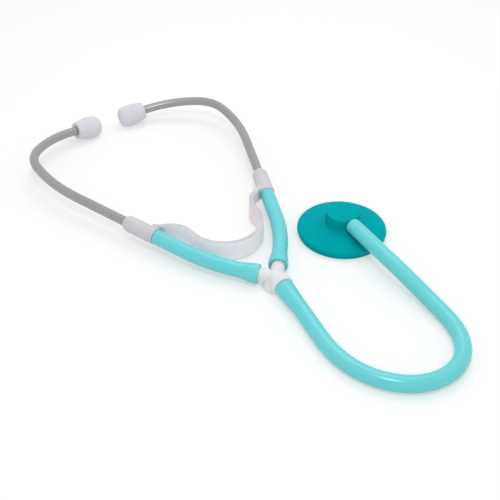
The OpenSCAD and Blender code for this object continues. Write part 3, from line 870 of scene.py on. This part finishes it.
def lug(flip):
    """The straight end of the band, running into its sleeve with a fillet on the inner side."""
    out = BAND_LINE[-1][1]
    ahead = Vector((-out.y, out.x))
    corner = (LUG_OUT - SLEEVE_R) / math.sin(BAND_TURN) + BAND_T / 2 / math.tan(BAND_TURN)
    middle = Vector((corner - LUG_FILLET * math.tan(BAND_TURN / 2), BAND_T / 2 + LUG_FILLET))
    plan = [(-LUG_LAP, -BAND_T / 2), (LUG_OUT / math.sin(BAND_TURN) - EAR_R, -BAND_T / 2)]
    for i in range(FILLET_STEPS + 1):
        a = -math.pi / 2 + BAND_TURN * (1 - i / FILLET_STEPS)
        plan.append((middle.x + LUG_FILLET * math.cos(a), middle.y + LUG_FILLET * math.sin(a)))
    plan.append((-LUG_LAP, BAND_T / 2))
    places = [LUG_END + ahead * x - out * y for x, y in plan]
    levels = (LUG_Z - BAND_END_H / 2, LUG_Z + BAND_END_H / 2)
    return [[flip @ Vector((p.x, p.y, z)) for p in places] for z in levels]


shape = bmesh.new()
left_rings = [band_ring(place, way, True) for place, way in BAND_LINE[:0:-1]]
loft(shape, left_rings + [band_ring(place, way, False) for place, way in BAND_LINE])
for flip in SIDES.values():
    lathe(shape, flip @ sleeve_place, sleeve_profile())
    loft(shape, lug(flip))
yoke = fuse(piece("yoke", shape, YOKE_PALE), voxel=0.26, smoothing=7)

# %% [markdown]
# The band's walls are thin and let the light of the table through, so they look paler than the
# sleeves and the band's edge. True translucency would stop at the cut and show it as a dark line.
# So that light is painted in instead: a mark on each half, 1 on a thin wall and 0 elsewhere, lets
# the finish take a paler colour there. This painted light is weaker on the loop's inner side, which
# the lamp behind the toy lights anyway.

# %% Two halves of the yoke
BAND_REACH, SLEEVE_NEAR, INNER_SIDE = 30, 33, 0.5


def half_of(whole, name, keep):
    """The part of a mesh on one side of the mirror plane, with the cut closed by a flat face."""
    shape = bmesh.new()
    shape.from_mesh(whole.data)
    everything = shape.verts[:] + shape.edges[:] + shape.faces[:]
    cut = bmesh.ops.bisect_plane(shape, geom=everything, plane_co=(HEADSET.x * MM, 0, 0),
                                 plane_no=(keep, 0, 0), clear_inner=True)
    edges = [e for e in cut["geom_cut"] if isinstance(e, bmesh.types.BMEdge)]
    bmesh.ops.contextual_create(shape, geom=edges)
    for edge in edges:
        edge.smooth = False
    arm = piece(name, shape, YOKE_PALE)
    # Painted light: each corner's share of the paler colour, more on upright walls away from the
    # sleeves.
    painted_light_mask = arm.data.attributes.new("painted_light_mask", "FLOAT", "POINT")
    for spot, corner in zip(painted_light_mask.data, arm.data.vertices):
        place = corner.co.xy / MM
        reach = (SLEEVE_NEAR - abs(place.x - HEADSET.x)) / (SLEEVE_NEAR - BAND_REACH)
        outer = 0.5 + 0.5 * corner.normal.xy.dot((place - LOOP_MIDDLE).normalized())
        side_share = INNER_SIDE + (1 - INNER_SIDE) * outer
        spot.value = (1 - abs(corner.normal.z)) * share(reach) * side_share
    return arm


for side, flip in SIDES.items():
    arm = half_of(yoke, f"yoke_{side}", 1 if side == "right" else -1)
    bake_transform(arm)
    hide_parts(f"sleeve_{side}", "spring_band")
bpy.data.objects.remove(yoke)

# %% [markdown]
# ## The chest piece
# The chest piece is a teal disc with a hub. Underneath, a ring snaps in and holds a white skin that
# lies on the table. All of it is turned. The spigot under the hose is a piece of its own here,
# because the hose hides where it meets the hub.

# %% Chest piece
RIM_R, RIM_H, CROWN_Z, HUB_Z, BELL_WALL, CHEST_TURNS = 25, 4.4, 7, 15, 1.8, 144
RIM_FOOT_ROUND, RIM_ROUND, HUB_ROUND, FOOT_RI, FOOT_Z = 1.2, 1.3, 0.9, 21, 1.5
RING_H, RING_RO, RING_RI, SNAP_RO, SNAP_RI, SNAP_Z = 1.8, 24.2, 21.6, 23.1, 22.5, 3.2
SNAP_ROOM_Z, SNAP_ROOM_R = SNAP_Z + SLACK, SNAP_RO + SLACK
SKIN_R, SKIN_EDGE_R, SKIN_EDGE_Z, SKIN_T = 21.5, 22.4, 1, 1.5
GROOVE_RI, GROOVE_RO, GROOVE_SLOPE, GROOVE_D = 18.4, 19.8, 0.4, 0.25
SPIGOT_R, SPIGOT_POINT, SPIGOT_END = 2.45, 0.6, HUB_R + SPIGOT_L
SPIGOT_ROOT, SPIGOT_BORE_END = HUB_R - 1.5, HUB_R - 0.5
ALONG_SPIGOT = (Matrix.Translation((0, 0, SPIGOT_Z))
                @ Matrix.Rotation(math.radians(-90 - SPIGOT_TURN), 4, "Z"))
CHEST = {  # finish, slot, node, axis and profile
    "chest_shell": (CHEST_TEAL, "chest_teal", "chest_body", UP, [
        (CROWN_Z - BELL_WALL, 0, 0), (RIM_H - BELL_WALL, FOOT_RI, 0.4), (FOOT_Z, FOOT_RI, 0),
        (FOOT_Z, SKIN_EDGE_R, 0), (SNAP_ROOM_Z, SKIN_EDGE_R, 0), (SNAP_ROOM_Z, SNAP_ROOM_R, 0),
        (RING_H, SNAP_ROOM_R, 0), (RING_H, RIM_R, RIM_FOOT_ROUND), (RIM_H, RIM_R, RIM_ROUND),
        (CROWN_Z, HUB_R, HUB_ROUND), (HUB_Z, HUB_R, HUB_ROUND), (HUB_Z, 0, 0)]),
    "chest_spigot": (CHEST_TEAL, "chest_teal", "chest_body", ALONG_SPIGOT, [
        (SPIGOT_ROOT, 0, 0), (SPIGOT_ROOT, SPIGOT_R, 0), (SPIGOT_END - SPIGOT_POINT, SPIGOT_R, 0.2),
        (SPIGOT_END, SPIGOT_R - SPIGOT_POINT, 0), (SPIGOT_END, SOUND_R, 0),
        (SPIGOT_BORE_END, SOUND_R, 0), (SPIGOT_BORE_END, 0, 0)]),
    "chest_ring": (CHEST_TEAL, "chest_teal", "retaining_ring", UP, [
        (0, RING_RI, 0.3), (0, RING_RO, 0.5), (RING_H, RING_RO, 0.2), (RING_H, SNAP_RO, 0),
        (SNAP_Z, SNAP_RO, 0.15), (SNAP_Z, SNAP_RI, 0.15), (SKIN_EDGE_Z, SNAP_RI, 0),
        (SKIN_EDGE_Z, RING_RI, 0.1)]),
    "chest_skin": (SKIN_WHITE, "skin_white", "diaphragm", UP, [
        (0, 0, 0), (0, GROOVE_RI, 0.2), (GROOVE_D, GROOVE_RI + GROOVE_SLOPE, 0.2),
        (GROOVE_D, GROOVE_RO - GROOVE_SLOPE, 0.2), (0, GROOVE_RO, 0.2), (0, SKIN_R, 0.25),
        (SKIN_EDGE_Z, SKIN_R, 0), (SKIN_EDGE_Z, SKIN_EDGE_R, 0), (SKIN_T, SKIN_EDGE_R, 0),
        (SKIN_T, 0, 0)]),
}
for name, (finish, slot, node, place, corners) in CHEST.items():
    shape = bmesh.new()
    lathe(shape, place, softened(corners), CHEST_TURNS)
    turned = piece(name, shape, finish)
    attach(turned, "chest_piece")
    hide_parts(node)

# %% [markdown]
